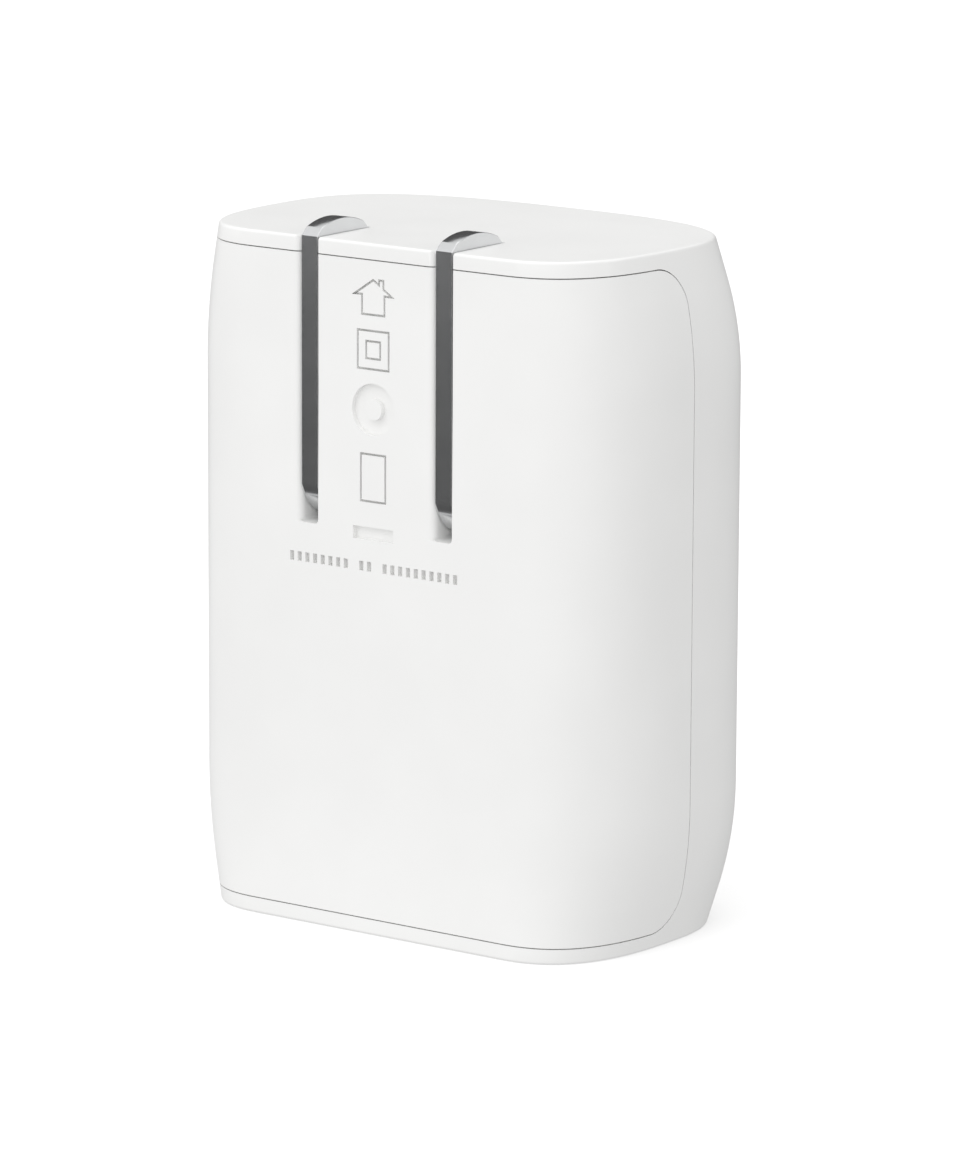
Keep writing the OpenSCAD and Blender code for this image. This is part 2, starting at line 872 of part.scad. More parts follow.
module usb_a_shell() {
    inner_w = usb_a_w - 2 * usb_a_wall;
    inner_h = usb_a_h - 2 * usb_a_wall;
    inner_r = usb_a_r - usb_a_wall;
    color("lightgray")
        difference() {
            round_bar(usb_a_z, usb_a_w, usb_a_h, usb_a_r, board_front_d, mouth_d);
            round_bar(usb_a_z, inner_w, inner_h, inner_r, board_front_d - 1, mouth_d + 1);
        }
}

tongue_a_w = 11.1;
tongue_a_t = 1.84;
tongue_a_top = usb_a_z + usb_a_h / 2 - usb_a_wall - 0.7;
tongue_a_end = mouth_d - 1;

module usb_a_insulator() {
    gap = 0.03;
    half_w = usb_a_w / 2 - usb_a_wall - gap;
    base_half_h = usb_a_h / 2 - usb_a_wall - gap - 0.2;
    color("white")
        union() {
            slab(-half_w, half_w, board_front_d, usb_a_back_d, usb_a_z - base_half_h, usb_a_z + base_half_h);
            slab(-tongue_a_w / 2, tongue_a_w / 2, usb_a_back_d - cut, tongue_a_end,
                 tongue_a_top - tongue_a_t, tongue_a_top);
        }
}

module usb_a_contacts() {
    leaf_t = 0.1;
    leaf_half_w = 0.5;
    start_d = usb_a_back_d + 0.5;
    end_d = tongue_a_end - 0.8;
    under = tongue_a_top - tongue_a_t;
    color("gold")
        for (x = [-3.5, -1, 1, 3.5])
            slab(x - leaf_half_w, x + leaf_half_w, start_d, end_d, under - leaf_t, under);
}

// ---------------------------------------------------------------- nodes

front_housing();
back_cover();
blade_left();
blade_right();
blade_rotor();
rotor_retainer();
retainer_screws();
detent_spring();
line_contact();
neutral_contact();
insulation_sheet();
main_board();
input_fuse();
x_capacitor();
choke_core();
choke_winding();
bridge_rectifier();
bulk_capacitor_a();
bulk_capacitor_b();
power_switch();
y_capacitor();
transformer_core_upper();
transformer_core_lower();
transformer_bobbin();
transformer_winding();
transformer_tape();
sync_rectifier();
output_capacitors();
output_inductor();
protocol_chip();
chip_parts();
thermal_pad();
heat_spreader();
usb_c_shell();
usb_c_insulator();
usb_c_contacts();
usb_a_shell();
usb_a_insulator();
usb_a_contacts();
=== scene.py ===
import json
import math

import bmesh
import bpy
from mathutils import Matrix, Vector


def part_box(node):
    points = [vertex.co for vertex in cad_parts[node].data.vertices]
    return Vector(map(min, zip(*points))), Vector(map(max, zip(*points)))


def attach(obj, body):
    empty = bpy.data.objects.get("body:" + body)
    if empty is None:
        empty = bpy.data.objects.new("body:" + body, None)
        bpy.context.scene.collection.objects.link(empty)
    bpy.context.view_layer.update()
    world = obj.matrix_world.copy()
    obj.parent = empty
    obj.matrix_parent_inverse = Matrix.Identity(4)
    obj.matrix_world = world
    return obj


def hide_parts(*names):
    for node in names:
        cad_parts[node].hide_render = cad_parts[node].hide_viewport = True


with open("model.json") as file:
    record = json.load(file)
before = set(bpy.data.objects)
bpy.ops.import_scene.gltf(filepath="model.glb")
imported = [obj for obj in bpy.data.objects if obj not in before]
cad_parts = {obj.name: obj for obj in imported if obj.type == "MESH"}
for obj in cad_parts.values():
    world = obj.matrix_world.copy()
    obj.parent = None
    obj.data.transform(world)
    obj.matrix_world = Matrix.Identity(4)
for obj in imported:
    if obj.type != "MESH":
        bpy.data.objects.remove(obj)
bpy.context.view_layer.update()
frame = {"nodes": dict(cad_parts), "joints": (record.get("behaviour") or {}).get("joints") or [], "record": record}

# Pieces are shaped in millimetres and scaled to metres when they are finished.
MM = 0.001

# How near two places are to count as one, how near two corners are to be welded, and how far a
# cutter runs past what it cuts.
NEAR = 1e-3
WELD = 5e-4
OVERRUN = 1


def box_mm(node):
    """The lowest and highest corner of a CAD node, in millimetres."""
    low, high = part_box(node)
    return low / MM, high / MM


# ---------------------------------------------------------------- sizes, in millimetres

FRONT_LOW, FRONT_HIGH = box_mm("front_housing")
BLADE_LOW, BLADE_HIGH = box_mm("blade_left")
HALF_WIDTH = FRONT_HIGH.x
HEIGHT = FRONT_HIGH.z
FRONT_Y = FRONT_LOW.y
BACK_Y = BLADE_HIGH.y
DEPTH = BACK_Y - FRONT_Y

# The body: superellipse corners, and tapered ends.
BACK_FLAT = 11.44
WIDEST_DEPTH = 12.1
BACK_POWER = 2.62
FRONT_POWER = 2.89
END_NARROWING = 1.59
END_THINNING = 2.5
TAPER_RADIUS = 26.9
TAPER_ANGLE = math.radians(16.7)
TAPER_STRAIGHT = 3.3
TAPER_START = TAPER_STRAIGHT + TAPER_RADIUS * math.sin(TAPER_ANGLE)
QUARTER = 32
TAPER_STEPS = 10
WALL = 1.8
END_WALL = 2.6
RIM_FILLET = 0.25

# The part line between the two halves.
RIM_HEIGHT = 1.3
SEAM_DEPTH = 12.2
SEAM_RADIUS = 3
SEAM_GAP = 0.09

# The blades and their slots.
PIVOT = Vector(frame["joints"][0]["pos_m"]) / MM
BLADE_THICK = BLADE_HIGH.x - BLADE_LOW.x
BLADE_X = (BLADE_HIGH.x + BLADE_LOW.x) / 2
BLADE_HALF = (BLADE_HIGH.y - BLADE_LOW.y) / 2
BLADE_REACH = BLADE_HIGH.z - PIVOT.z
HOLE_RADIUS = 1.6
HOLE_REACH = 15.85
COUNTERSINK = 0.4
NECK_RADIUS = 1.2
EDGE_ROUNDING = 0.05
GAP_MINUS_X = 0.08
GAP_PLUS_X = 0.14
GAP_BELOW = 0.1
GAP_BEHIND = 0.25
SLOT_LOW_Z = PIVOT.z - BLADE_HALF - GAP_BELOW
SLOT_DEPTH = 2 * BLADE_HALF + GAP_BEHIND
SLOT_FOOT_RADIUS = 0.3
MOUTH_FILLET = 0.08
WIDE_MOUTH_FILLET = 0.6

# Inside the cover: a boss for each retainer screw and a post on each side that clamps the board.
# Depths count from the back face.
ROOT_DEPTH = 1
BOSS_X = 12.6
BOSS_RADIUS = 2.1
BOSS_END_DEPTH = 7.9
PILOT_RADIUS = 0.8
PILOT_END_DEPTH = 2.9
CLAMP_X = 15
CLAMP_Z = 27.6
CLAMP_RADIUS = 1.2

# The cheeks round each slot, and the rotor's seat in them.
CHEEK = 1.1
CHEEK_GAP = 0.15
CHEEK_HALF = BLADE_THICK / 2 + CHEEK_GAP + CHEEK
SEAT_TOP_Z = PIVOT.z + 4
SEAT_RADIUS = 2.05
SEAT_REACH = 12

# The guide tabs, and the front housing's posts.
TAB_IN_X = 17.2
TAB_ROOT_DEPTH = 8.6
TAB_FROM_END = 8
TAB_HALF_HEIGHT = 2
POST_X = 14.4
POST_HEIGHTS = (7.5, 46)
POST_ROOT_DEPTH = 23.4
POST_RADIUS = 1.4

# The engraved marks, which stand a little to the +X side of the middle.
MARK_X = 0.27
MARK_DEPTH = 0.42
MARK_STROKE = 0.18

# The sockets and the mouths that they stand in.
USB_C_LOW, USB_C_HIGH = box_mm("usb_c_shell")
USB_A_LOW, USB_A_HIGH = box_mm("usb_a_shell")
SHEET_C = 0.25
SHEET_A = 0.3
MOUTH_GAP = 0.15
MOUTH_REACH = 4
MOUTH_RIM_FILLET = 0.25
MOUTHS = ((USB_C_LOW, USB_C_HIGH, 1.7), (USB_A_LOW, USB_A_HIGH, 0.65))


# ---------------------------------------------------------------- camera and studio

CAMERA_PLACE = Vector((-0.29884, 0.40331, 0.12871))
CAMERA_TURN = math.radians(216.55)
CAMERA_TILT = math.radians(78.43)
CAMERA_ROLL = math.radians(0.246)
FOCAL_LENGTH = 207.05

# The sky is brightest behind the camera and above, so that the sides fall off towards the front.
SKY_TOWARDS = Vector((0, 0.9, 0.44))
SKY_MEAN = 0.79
SKY_SWING = 0.3


def add_camera():
    """The camera, which looks at the back, the top and the side at -X."""
    data = bpy.data.cameras.new("camera")
    data.lens = FOCAL_LENGTH
    data.clip_start = 0.01
    data.clip_end = 20
    camera = bpy.data.objects.new("camera", data)
    bpy.context.scene.collection.objects.link(camera)
    camera.matrix_world = (
        Matrix.Translation(CAMERA_PLACE) @ Matrix.Rotation(CAMERA_TURN, 4, "Z")
        @ Matrix.Rotation(CAMERA_TILT, 4, "X") @ Matrix.Rotation(CAMERA_ROLL, 4, "Z")
    )
    bpy.context.scene.camera = camera


def add_softbox(name, place, aim, size, power):
    """A square area light that shines from one point at another."""
    data = bpy.data.lights.new(name, "AREA")
    data.size = size
    data.energy = power
    light = bpy.data.objects.new(name, data)
    bpy.context.scene.collection.objects.link(light)
    turn = (Vector(aim) - Vector(place)).to_track_quat("-Z", "Y").to_matrix().to_4x4()
    light.matrix_world = Matrix.Translation(Vector(place)) @ turn


# ---------------------------------------------------------------- materials

def linear(colour):
    """The linear RGBA of an sRGB hex colour."""
    parts = [int(colour[i:i + 2], 16) / 255 for i in (1, 3, 5)]
    return [c / 12.92 if c <= 0.04045 else ((c + 0.055) / 1.055) ** 2.4 for c in parts] + [1]


def add(tree, kind, inputs=None, links=None, **settings):
    """Adds a node with its settings, its input values and the sockets that feed it."""
    made = tree.nodes.new(kind)
    for name, value in settings.items():
        setattr(made, name, value)
    for name, value in (inputs or {}).items():
        made.inputs[name].default_value = value
    for name, socket in (links or {}).items():
        tree.links.new(socket, made.inputs[name])
    return made


def start_material(name, **shader_inputs):
    """A material with a shader, its output and a place for patterns, in object coordinates."""
    material = bpy.data.materials.new(name)
    material.use_nodes = True
    tree = material.node_tree
    tree.nodes.clear()
    shader = add(tree, "ShaderNodeBsdfPrincipled", shader_inputs)
    add(tree, "ShaderNodeOutputMaterial", links={"Surface": shader.outputs["BSDF"]})
    place = add(tree, "ShaderNodeTexCoord").outputs["Object"]
    return material, tree, shader, place


def scale_for(size):
    """The pattern scale that makes one cell of a noise this many millimetres wide."""
    return 1 / (size * MM)


def roughen(tree, shader, fac, low, high):
    """Lets a pattern drive the roughness between two values."""
    ranged = add(tree, "ShaderNodeMapRange", {"To Min": low, "To Max": high}, {"Value": fac})
    tree.links.new(ranged.outputs["Result"], shader.inputs["Roughness"])


def tint(tree, shader, fac, dark, light):
    """Lets a pattern drive the colour between two hex colours."""
    ramp = add(tree, "ShaderNodeValToRGB", links={"Fac": fac})
    ramp.color_ramp.elements[0].position = 0.3
    ramp.color_ramp.elements[1].position = 0.7
    ramp.color_ramp.elements[0].color = linear(dark)
    ramp.color_ramp.elements[1].color = linear(light)
    tree.links.new(ramp.outputs["Color"], shader.inputs["Base Color"])


def emboss(tree, shader, height, depth):
    """Lets a pattern drive the bump. The depth is in millimetres."""
    bump = add(tree, "ShaderNodeBump", {"Strength": 1.0, "Distance": depth * MM}, {"Height": height})
    tree.links.new(bump.outputs["Normal"], shader.inputs["Normal"])


def moulded_plastic(name, dark, light, ior, rough, grain, depth, coat=0.0):
    """Injection moulded plastic: the mould's spark-eroded grain gives a soft, even sheen, and slow
    shrinkage gives a cloudiness that only shows in highlights."""
    material, tree, shader, place = start_material(name, IOR=ior, **{"Coat Weight": coat})
    cloud = add(tree, "ShaderNodeTexNoise", {"Scale": scale_for(9), "Detail": 2}, {"Vector": place})
    fine = add(tree, "ShaderNodeTexNoise", {"Scale": scale_for(grain), "Detail": 3}, {"Vector": place})
    tint(tree, shader, cloud.outputs["Fac"], dark, light)
    roughen(tree, shader, fine.outputs["Fac"], rough - 0.05, rough + 0.05)
    emboss(tree, shader, fine.outputs["Fac"], depth)
    return material


def rolled_metal(name, dark, light, rough, grain, depth, axis):
    """Rolled sheet metal: the rolls leave fine streaks that run along the strip, so a highlight
    spreads across them. The stretch is 12 times the streak's width."""
    material, tree, shader, place = start_material(name, Metallic=1.0)
    streak = [1.0, 1.0, 1.0]
    streak["XYZ".index(axis)] = 1 / 12
    turned = add(tree, "ShaderNodeMapping", {"Scale": streak}, {"Vector": place})
    lines = add(
        tree, "ShaderNodeTexNoise", {"Scale": scale_for(grain), "Detail": 4},
        {"Vector": turned.outputs["Vector"]}
    )
    patch = add(tree, "ShaderNodeTexNoise", {"Scale": scale_for(3), "Detail": 2}, {"Vector": place})
    tint(tree, shader, patch.outputs["Fac"], dark, light)
    roughen(tree, shader, lines.outputs["Fac"], rough - 0.06, rough + 0.06)
    emboss(tree, shader, lines.outputs["Fac"], depth)
    return material


def wound_wire(name, dark, light, wire, rough):
    """Enamelled wire wound in layers: each turn is a round ridge, and the varnish over the copper
    gives it a wet, amber gloss. A band of the wave is tau / 20 of the texture's unit."""
    material, tree, shader, place = start_material(name, Metallic=0.6, **{"Coat Weight": 0.5})
    turns = add(
        tree, "ShaderNodeTexWave",
        {"Scale": scale_for(wire) * math.tau / 20, "Distortion": 0.4, "Detail": 1},
        {"Vector": place}, bands_direction="Z"
    )
    patch = add(tree, "ShaderNodeTexNoise", {"Scale": scale_for(2), "Detail": 2}, {"Vector": place})
    tint(tree, shader, patch.outputs["Fac"], dark, light)
    roughen(tree, shader, turns.outputs["Fac"], rough, rough + 0.15)
    emboss(tree, shader, turns.outputs["Fac"], wire * 0.4)
    return material


def sintered(name, dark, light, ior, rough, grit, depth):
    """Pressed and fired powder: open pores between the grits break up the light and leave it matt."""
    material, tree, shader, place = start_material(name, IOR=ior)
    pores = add(tree, "ShaderNodeTexVoronoi", {"Scale": scale_for(grit)}, {"Vector": place})
    patch = add(tree, "ShaderNodeTexNoise", {"Scale": scale_for(1.5), "Detail": 3}, {"Vector": place})
    tint(tree, shader, patch.outputs["Fac"], dark, light)
    roughen(tree, shader, pores.outputs["Distance"], rough, rough + 0.2)
    emboss(tree, shader, pores.outputs["Distance"], depth)
    return material


def solder_mask(name, dark, light):
    """Liquid solder mask over copper tracks: the tracks show through as lighter, raised lanes
    2.5 mm apart under a glossy green film. A row of bricks is a quarter of the texture's unit."""
    material, tree, shader, place = start_material(name, IOR=1.55, **{"Coat Weight": 0.4})
    turned = add(tree, "ShaderNodeMapping", {"Rotation": (math.radians(90), 0, 0)}, {"Vector": place})
    lanes = add(
        tree, "ShaderNodeTexBrick",
        {"Scale": scale_for(2.5) / 4, "Mortar Size": 0.02, "Mortar Smooth": 0.2,
         "Color1": linear(dark), "Color2": linear(dark), "Mortar": linear(light)},
        {"Vector": turned.outputs["Vector"]}
    )
    film = add(tree, "ShaderNodeTexNoise", {"Scale": scale_for(0.8), "Detail": 2}, {"Vector": place})
    tree.links.new(lanes.outputs["Color"], shader.inputs["Base Color"])
    roughen(tree, shader, film.outputs["Fac"], 0.2, 0.34)
    emboss(tree, shader, lanes.outputs["Fac"], 0.03)
    return material


def make_materials():
    """One finish for each material slot of the record."""
    return {
        # Polycarbonate and ABS blend, spark-eroded mould: even satin white. The grain is 0.05 mm
        # on the real one and is drawn at 0.12 mm, so that it shows.
        "housing_white": moulded_plastic(
            "satin_polycarbonate", "#F3F3F2", "#F6F6F5", 1.58, 0.42, 0.12, 0.0012
        ),
        # Nickel-plated brass strip, blanked and tumbled: pale warm grey with soft edges.
        "blade_metal": rolled_metal("nickel_plated_brass", "#DADBDC", "#E2E3E4", 0.2, 0.05, 0.0015, "Z"),
        # Acetal, moulded: waxy and slightly translucent white.
        "rotor_plastic": moulded_plastic("acetal", "#DADAD6", "#E4E4E0", 1.48, 0.38, 0.15, 0.002),
        # Zinc-plated steel screws, cold headed and clear passivated.
        "screw_steel": rolled_metal("zinc_plated_steel", "#8F9496", "#A9AEB1", 0.3, 0.08, 0.002, "Y"),
        # Phosphor bronze strip, rolled hard: warm streaked metal.
        "spring_brass": rolled_metal("phosphor_bronze", "#B08A4A", "#C9A15C", 0.28, 0.06, 0.0015, "Z"),
        # Aramid paper, calendered: cream with short fibres.
        "insulation_film": moulded_plastic("aramid_paper", "#D6C68E", "#E3D6A3", 1.5, 0.6, 0.3, 0.006),
        "board_laminate": solder_mask("solder_masked_laminate", "#14502F", "#1F6B41"),
        # Flame-proof polyester box filled with resin: bright yellow, slightly glossy.
        "part_yellow": moulded_plastic("polyester_box", "#D9B125", "#E4BF38", 1.55, 0.3, 0.4, 0.002, 0.2),
        # Phenolic tube: dark brown with a dull gloss.
        "part_brown": moulded_plastic("phenolic", "#4B2A17", "#5E3822", 1.6, 0.35, 0.3, 0.003),
        # Epoxy moulding compound with glass filler: matt charcoal.
        "part_black": moulded_plastic("epoxy_compound", "#161617", "#202022", 1.55, 0.55, 0.1, 0.004),
        # Dipped epoxy over a ceramic disc: thick glossy blue.
        "part_blue": moulded_plastic("dipped_epoxy", "#1E4A82", "#28599A", 1.55, 0.22, 0.9, 0.01, 0.5),
        # Drawn aluminium cans: fine lines run up the wall.
        "can_aluminium": rolled_metal("drawn_aluminium", "#B9BBBE", "#C9CBCE", 0.3, 0.08, 0.002, "Y"),
        # Manganese-zinc ferrite, ground on its faces.
        "ferrite": sintered("ferrite", "#232325", "#2F2F32", 1.9, 0.5, 0.12, 0.01),
        "copper_winding": wound_wire("enamelled_copper", "#8C4A22", "#A85E2E", 0.35, 0.25),
        # Polyester tape: lemon film that the winding shows through as slow waves.
        "tape_yellow": moulded_plastic("polyester_tape", "#DCC02E", "#E8CF48", 1.6, 0.2, 1.2, 0.008, 0.3),
        # Fired ceramic chips: sandy and fine-grained.
        "ceramic_tan": sintered("barium_titanate", "#A58A63", "#B99E77", 1.8, 0.45, 0.08, 0.004),
        # Silicone gap filler: soft grey-blue putty.
        "pad_grey": sintered("silicone_gap_filler", "#8E9DB2", "#9EACBF", 1.45, 0.6, 0.3, 0.02),
        # Rolled aluminium sheet.
        "spreader_aluminium": rolled_metal("rolled_aluminium", "#C2C3C5", "#D2D3D5", 0.32, 0.1, 0.003, "X"),
        # Stainless strip, nickel plated and deep drawn: bright with faint lines.
        "socket_steel": rolled_metal("nickel_plated_steel", "#B4B4B5", "#C8C8C9", 0.2, 0.06, 0.001, "Y"),
        # Liquid-crystal polymer, moulded: flat black with flow lines.
        "socket_black": moulded_plastic("black_lcp", "#121213", "#1A1A1B", 1.6, 0.45, 0.12, 0.003),
        # PBT, moulded: clean white with a low sheen.
        "socket_white": moulded_plastic("white_pbt", "#E6E6E3", "#EDEDEA", 1.55, 0.4, 0.15, 0.002),
        # Gold flash over nickel on stamped contacts.
        "contact_gold": rolled_metal("gold_flash", "#C79A3A", "#DDB254", 0.22, 0.05, 0.001, "Y"),
    }


FINISHES = make_materials()


# ---------------------------------------------------------------- mesh helpers

def object_from(bm, name):
    """A loose object from a bmesh, still in millimetres."""
    mesh = bpy.data.meshes.new(name)
    bm.to_mesh(mesh)
    bm.free()
    made = bpy.data.objects.new(name, mesh)
    bpy.context.scene.collection.objects.link(made)
    return made


def edit(piece, work):
    """Runs one bmesh job on an object's mesh."""
    bm = bmesh.new()
    bm.from_mesh(piece.data)
    work(bm)
    bm.to_mesh(piece.data)
    bm.free()


def combine(piece, form, operation="DIFFERENCE"):
    """Cuts a closed form out of a closed piece, joins it on, or keeps what they share."""
    tool = object_from(form, "tool")
    boolean = piece.modifiers.new("combine", "BOOLEAN")
    boolean.operation = operation
    boolean.solver = "EXACT"
    boolean.object = tool
    made = bpy.data.meshes.new_from_object(piece.evaluated_get(bpy.context.evaluated_depsgraph_get()))
    piece.modifiers.clear()
    piece.data = made
    bpy.data.objects.remove(tool)
    edit(piece, lambda bm: bmesh.ops.remove_doubles(bm, verts=bm.verts, dist=WELD))


def round_edges(bm, edges, radius, segments):
    """Rounds edges, or chamfers them where there is only one segment."""
    bmesh.ops.bevel(
        bm, geom=edges, offset=radius, offset_type="OFFSET", segments=segments, profile=0.5,
        affect="EDGES", material=-1, clamp_overlap=False
    )


def sharp(edge, degrees=35):
    """True for an edge whose two faces meet at more than an angle."""
    return len(edge.link_faces) == 2 and edge.calc_face_angle() > math.radians(degrees)


def along(edge, axis):
    """True for an edge that runs along an axis."""
    run = edge.verts[1].co - edge.verts[0].co
    return abs(run[axis]) > 0.999 * run.length


def front_edges(bm, front_y):
    """The sharp edges at the end of a form that faces the front."""
    return [e for e in bm.edges if sharp(e, 60) and all(v.co.y < front_y + NEAR for v in e.verts)]


def block(low, high):
    """A box between two corners."""
    bm = bmesh.new()
    bmesh.ops.create_cube(bm, size=1)
    low, high = Vector(low), Vector(high)
    bmesh.ops.scale(bm, vec=high - low, verts=bm.verts)
    bmesh.ops.translate(bm, vec=(low + high) / 2, verts=bm.verts)
    return bm


def rounded_bar(low, high, radius, axis, segments=8):
    """A box whose four edges along one axis are rounded."""
    bm = block(low, high)
    round_edges(bm, [e for e in bm.edges if along(e, axis)], radius, segments)
    return bm


def bevelled_block(low, high, radius, segments=2):
    """A box whose edges are all rounded."""
    bm = block(low, high)
    round_edges(bm, bm.edges[:], radius, segments)
    return bm


def rod(start, end, radius, segments=48):
    """A round bar between two points."""
    bm = bmesh.new()
    start, end = Vector(start), Vector(end)
    turn = (end - start).to_track_quat("Z", "Y").to_matrix().to_4x4()
    bmesh.ops.create_cone(
        bm, cap_ends=True, segments=segments, radius1=radius, radius2=radius, depth=(end - start).length,
        matrix=Matrix.Translation((start + end) / 2) @ turn
    )
    return bm


def flat_face(bm, corners):
    """A flat face through a list of corners."""
    return bm.faces.new([bm.verts.new(corner) for corner in corners])


def thicken(bm, faces, run):
    """Makes a closed form of flat faces: it reaches from where they are to the far end of the run."""
    raised = bmesh.ops.extrude_face_region(bm, geom=faces)
    moved = [v for v in raised["geom"] if isinstance(v, bmesh.types.BMVert)]
    bmesh.ops.translate(bm, vec=run, verts=moved)
    bmesh.ops.recalc_face_normals(bm, faces=bm.faces)


def gather(*parts):
    """One bmesh from several."""
    whole = bmesh.new()
    for part in parts:
        mesh = bpy.data.meshes.new("part")
        part.to_mesh(mesh)
        part.free()
        whole.from_mesh(mesh)
        bpy.data.meshes.remove(mesh)
    return whole


def mirrored(make):
    """What make(1) and make(-1) give, for the +X side and the -X side."""
    return [make(side) for side in (1, -1)]


def finish_piece(piece, body, slot, *nodes):
    """Scales a piece to metres, sets its finish and its body, and hides the CAD nodes it stands for."""
    def settle(bm):
        bmesh.ops.scale(bm, vec=(MM, MM, MM), verts=bm.verts)
        for face in bm.faces:
            face.smooth = True
        for edge in bm.edges:
            edge.smooth = not sharp(edge)
    edit(piece, settle)
    weighted = piece.modifiers.new("even shading", "WEIGHTED_NORMAL")
    weighted.keep_sharp = True
    piece.data.materials.clear()
    piece.data.materials.append(FINISHES[slot])
    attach(piece, body)
    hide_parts(*nodes)


# ---------------------------------------------------------------- body

def taper(z):
    """How far the ends have drawn in at a height: 0 in the middle and 1 at the ends."""
    def drop(from_end):
        """How far the end has drawn in at a distance from it, before scaling."""
        if from_end >= TAPER_START:
            return 0.0
        if from_end >= TAPER_STRAIGHT:
            return TAPER_RADIUS - math.sqrt(TAPER_RADIUS ** 2 - (TAPER_START - from_end) ** 2)
        return (TAPER_RADIUS * (1 - math.cos(TAPER_ANGLE))
                + math.tan(TAPER_ANGLE) * (TAPER_STRAIGHT - from_end))
    return drop(min(z, HEIGHT - z)) / drop(0)


def superellipse(half_width, half_depth, power, angle):
    """A point of a superellipse's first quarter."""
    x = half_width * abs(math.cos(angle)) ** (2 / power)
    y = half_depth * abs(math.sin(angle)) ** (2 / power)
    return x, y


def body_point(corner, z, inset):
    """Corner number of the outline, counted from the -X end of the flat back, at a height."""
    side = HALF_WIDTH - END_NARROWING * taper(z) - inset
    front = DEPTH - END_THINNING * taper(z) - inset - WIDEST_DEPTH
    back = WIDEST_DEPTH - inset
    widest_y = BACK_Y - WIDEST_DEPTH
    step = min(corner, 4 * QUARTER - corner)
    hand = -1 if corner <= 2 * QUARTER else 1
    if step <= QUARTER:
        x, y = superellipse(side - BACK_FLAT, back, BACK_POWER, math.radians(90) * (1 - step / QUARTER))
        return Vector((hand * (BACK_FLAT + x), widest_y + y, z))
    x, y = superellipse(side, front, FRONT_POWER, math.radians(90) * (step / QUARTER - 1))
    return Vector((hand * x, widest_y - y, z))


def body_form(inset, end_gap):
    """The closed form of the body: a drum cut into rings, each moved onto the body's surface."""
    sides = 4 * QUARTER + 1
    bm = bmesh.new()
    bmesh.ops.create_cone(
        bm, cap_ends=True, segments=sides, radius1=1, radius2=1, depth=HEIGHT - 2 * end_gap,
        matrix=Matrix.Translation((0, 0, HEIGHT / 2))
    )
    for i in range(TAPER_STEPS + 1):
        from_end = TAPER_STRAIGHT + (TAPER_START - TAPER_STRAIGHT) * i / TAPER_STEPS
        for z in (from_end, HEIGHT - from_end):
            bmesh.ops.bisect_plane(
                bm, geom=bm.verts[:] + bm.edges[:] + bm.faces[:], dist=1e-5, plane_co=(0, 0, z),
                plane_no=(0, 0, 1)
            )
    for vert in bm.verts:
        turn = math.atan2(-vert.co.x, vert.co.y) / math.tau
        vert.co = body_point(round(turn * sides) % sides, vert.co.z, inset)
    return bm


def outer_form():
    """The body with a small rounding round its top and its bottom."""
    bm = body_form(0, 0)
    ends = [e for e in bm.edges if all(abs(v.co.z - HEIGHT / 2) > HEIGHT / 2 - NEAR for v in e.verts)]
    round_edges(bm, ends, RIM_FILLET, 4)
    return bm


def seam_prism(grow):
    """The space behind the part line: its two corners towards the front are rounded."""
    seam_y = BACK_Y - SEAM_DEPTH - grow
    bm = block(
        (-HALF_WIDTH - OVERRUN, seam_y, RIM_HEIGHT - grow),
        (HALF_WIDTH + OVERRUN, BACK_Y + OVERRUN, HEIGHT - RIM_HEIGHT + grow)
    )
    front = [e for e in bm.edges if along(e, 0) and abs(e.verts[0].co.y - seam_y) < NEAR]
    round_edges(bm, front, SEAM_RADIUS + grow, 24)
    return bm


# ---------------------------------------------------------------- slots

def slot_cutter(side):
    """A blade's slot, open at the back and at the top, with small radii in its lower corners."""
    bm = block(
        (side * BLADE_X - BLADE_THICK / 2 - GAP_MINUS_X, BACK_Y - SLOT_DEPTH, SLOT_LOW_Z),
        (side * BLADE_X + BLADE_THICK / 2 + GAP_PLUS_X, BACK_Y + OVERRUN, HEIGHT + OVERRUN)
    )
    foot = [e for e in bm.edges if along(e, 1) and e.verts[0].co.z < SLOT_LOW_Z + NEAR]
    round_edges(bm, foot, SLOT_FOOT_RADIUS, 4)
    return bm


def on_outside(point):
    """True on the back face, on the top face and on the rounding between them."""
    near_back = point.y > BACK_Y - RIM_FILLET - NEAR
    near_top = point.z > HEIGHT - RIM_FILLET - NEAR
    return point.y > BACK_Y - NEAR or point.z > HEIGHT - NEAR or (near_back and near_top)


def is_beside_blade(point):
    """True on the wall of a slot that faces the -X side of its blade."""
    walls = mirrored(lambda side: side * BLADE_X - BLADE_THICK / 2 - GAP_MINUS_X)
    return any(abs(point.x - wall) < NEAR for wall in walls)


def round_slot_mouths(bm):
    """Breaks the edges of the slots' walls that face the -X side of the blades."""
    mouths = [
        e for e in bm.edges
        if sharp(e, 40) and all(on_outside(v.co) and is_beside_blade(v.co) for v in e.verts)
    ]
    round_edges(bm, mouths, MOUTH_FILLET, 2)


